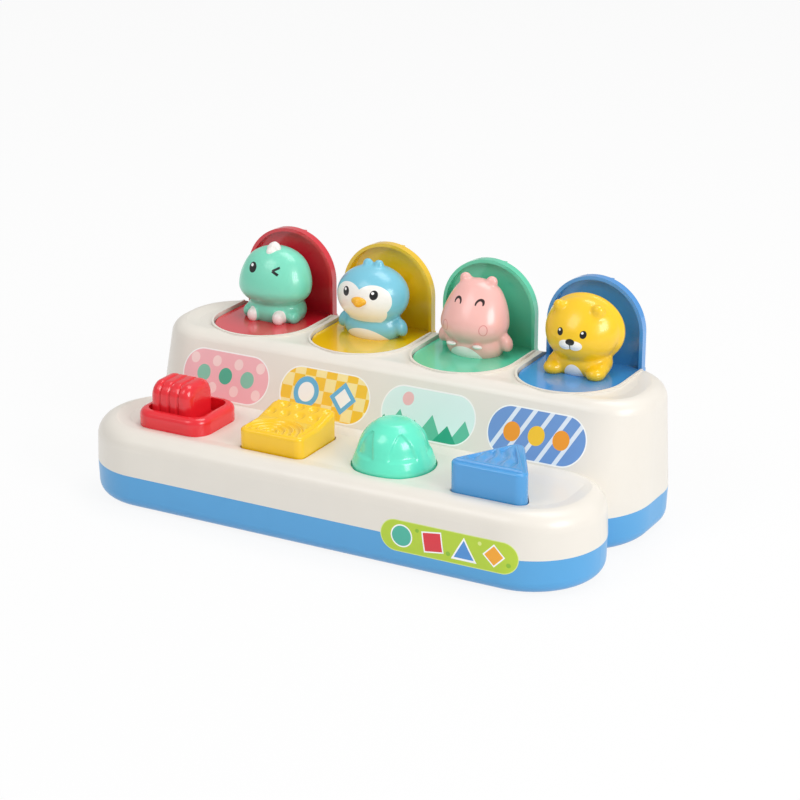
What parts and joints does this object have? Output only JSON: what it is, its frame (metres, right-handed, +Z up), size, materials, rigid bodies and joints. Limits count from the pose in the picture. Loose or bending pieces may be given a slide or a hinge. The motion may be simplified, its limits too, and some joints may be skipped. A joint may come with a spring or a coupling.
{
  "type": "pop up animal toy",
  "caption": "Toddler pop up toy: long two-tier plastic housing with spring-loaded animal figures under round lids, each latched and released by a slider, rocker, dial or triangle button.",
  "frame": {"origin": "centre of the plan, on the table plane under the feet", "axes": "+X to the right as seen from the front, +Y to the back where the lids stand, +Z up"},
  "size_m": [0.338, 0.171, 0.1407],
  "materials": {
    "shell_white": "moulded, satin",
    "tray_blue": "moulded, satin",
    "red_plastic": "moulded, glossy",
    "yellow_plastic": "moulded, glossy",
    "mint_plastic": "moulded, glossy",
    "sky_plastic": "moulded, glossy",
    "pink_plastic": "moulded, glossy",
    "label_pink": "printed film",
    "label_yellow": "printed film",
    "label_green": "printed film",
    "label_stripe": "printed film",
    "label_lime": "printed film",
    "grey_plastic": "moulded",
    "zinc_steel": "zinc plated",
    "spring_steel": "bright wire"
  },
  "bodies": {
    "housing": {"upper_shell": "shell_white", "lower_tray": "tray_blue", "label_dinosaur": "label_pink", "label_penguin": "label_yellow", "label_hippo": "label_green", "label_lion": "label_stripe", "label_front": "label_lime", "housing_screws": "zinc_steel", "hinge_rod": "zinc_steel", "rod_clamps": "grey_plastic", "clamp_screws": "zinc_steel", "slider_bezel": "red_plastic", "bezel_screws": "zinc_steel", "rocker_pin": "zinc_steel", "button_spring": "spring_steel", "torsion_spring_1": "spring_steel", "lever_spring_1": "spring_steel", "lever_screw_1": "zinc_steel", "torsion_spring_2": "spring_steel", "lever_spring_2": "spring_steel", "lever_screw_2": "zinc_steel", "torsion_spring_3": "spring_steel", "lever_spring_3": "spring_steel", "lever_screw_3": "zinc_steel", "torsion_spring_4": "spring_steel", "lever_spring_4": "spring_steel", "lever_screw_4": "zinc_steel"},
    "popup_1": {"flap_dinosaur": "red_plastic", "figure_dinosaur": "mint_plastic", "figure_screws_1": "zinc_steel"},
    "popup_2": {"flap_penguin": "yellow_plastic", "figure_penguin": "sky_plastic", "figure_screws_2": "zinc_steel"},
    "popup_3": {"flap_hippo": "mint_plastic", "figure_hippo": "pink_plastic", "figure_screws_3": "zinc_steel"},
    "popup_4": {"flap_lion": "sky_plastic", "figure_lion": "yellow_plastic", "figure_screws_4": "zinc_steel"},
    "slider": {"slider_block": "red_plastic", "slider_keeper": "grey_plastic"},
    "rocker": {"rocker_key": "yellow_plastic"},
    "dial": {"dial_knob": "mint_plastic"},
    "button": {"triangle_button": "sky_plastic"},
    "latch_1": {"latch_lever_1": "grey_plastic"},
    "latch_2": {"latch_lever_2": "grey_plastic"},
    "latch_3": {"latch_lever_3": "grey_plastic"},
    "latch_4": {"latch_lever_4": "grey_plastic"}
  },
  "joints": [
    {"name": "popup_hinge_1", "type": "hinge", "parent": "housing", "child": "popup_1", "pos_m": [-0.108, 0.0732, 0.0808], "axis": [1, 0, 0], "range_deg": [0, 90], "stiffness_Nm_per_rad": 0.06, "springref_deg": -57.3},
    {"name": "popup_hinge_2", "type": "hinge", "parent": "housing", "child": "popup_2", "pos_m": [-0.036, 0.0732, 0.0808], "axis": [1, 0, 0], "range_deg": [0, 90], "stiffness_Nm_per_rad": 0.06, "springref_deg": -57.3},
    {"name": "popup_hinge_3", "type": "hinge", "parent": "housing", "child": "popup_3", "pos_m": [0.036, 0.0732, 0.0808], "axis": [1, 0, 0], "range_deg": [0, 90], "stiffness_Nm_per_rad": 0.06, "springref_deg": -57.3},
    {"name": "popup_hinge_4", "type": "hinge", "parent": "housing", "child": "popup_4", "pos_m": [0.108, 0.0732, 0.0808], "axis": [1, 0, 0], "range_deg": [0, 90], "stiffness_Nm_per_rad": 0.06, "springref_deg": -57.3},
    {"name": "slider_slide", "type": "slide", "parent": "housing", "child": "slider", "axis": [1, 0, 0], "range_m": [0, 0.009], "stiffness_N_per_m": 60, "springref_m": -0.002},
    {"name": "rocker_hinge", "type": "hinge", "parent": "housing", "child": "rocker", "pos_m": [-0.036, -0.0452, 0.043], "axis": [1, 0, 0], "range_deg": [-9, 0], "stiffness_Nm_per_rad": 0.3, "springref_deg": 5.73},
    {"name": "dial_turn", "type": "hinge", "parent": "housing", "child": "dial", "pos_m": [0.036, -0.044, 0], "axis": [0, 0, 1], "range_deg": [-40, 0], "stiffness_Nm_per_rad": 0.05, "springref_deg": 11.46},
    {"name": "button_press", "type": "slide", "parent": "housing", "child": "button", "axis": [0, 0, -1], "range_m": [0, 0.004], "stiffness_N_per_m": 150, "springref_m": -0.002, "deforming": ["button_spring"]},
    {"name": "latch_hinge_1", "type": "hinge", "parent": "housing", "child": "latch_1", "pos_m": [-0.111, 0, 0.013], "axis": [0, 0, 1], "range_deg": [0, 11.9]},
    {"name": "latch_hinge_2", "type": "hinge", "parent": "housing", "child": "latch_2", "pos_m": [-0.033, 0, 0.013], "axis": [0, 0, 1], "range_deg": [-3.62, 0]},
    {"name": "latch_hinge_3", "type": "hinge", "parent": "housing", "child": "latch_3", "pos_m": [0.039, 0, 0.013], "axis": [0, 0, 1], "range_deg": [-3.55, 0]},
    {"name": "latch_hinge_4", "type": "hinge", "parent": "housing", "child": "latch_4", "pos_m": [0.111, 0, 0.013], "axis": [0, 0, 1], "range_deg": [-3.62, 0]}
  ],
  "couplings": [
    {"joint": "latch_hinge_1", "follows": "slider_slide", "rad_per_m": 22.889},
    {"joint": "latch_hinge_2", "follows": "rocker_hinge", "ratio": 0.4},
    {"joint": "latch_hinge_3", "follows": "dial_turn", "ratio": 0.0872},
    {"joint": "latch_hinge_4", "follows": "button_press", "rad_per_m": -15.708}
  ]
}
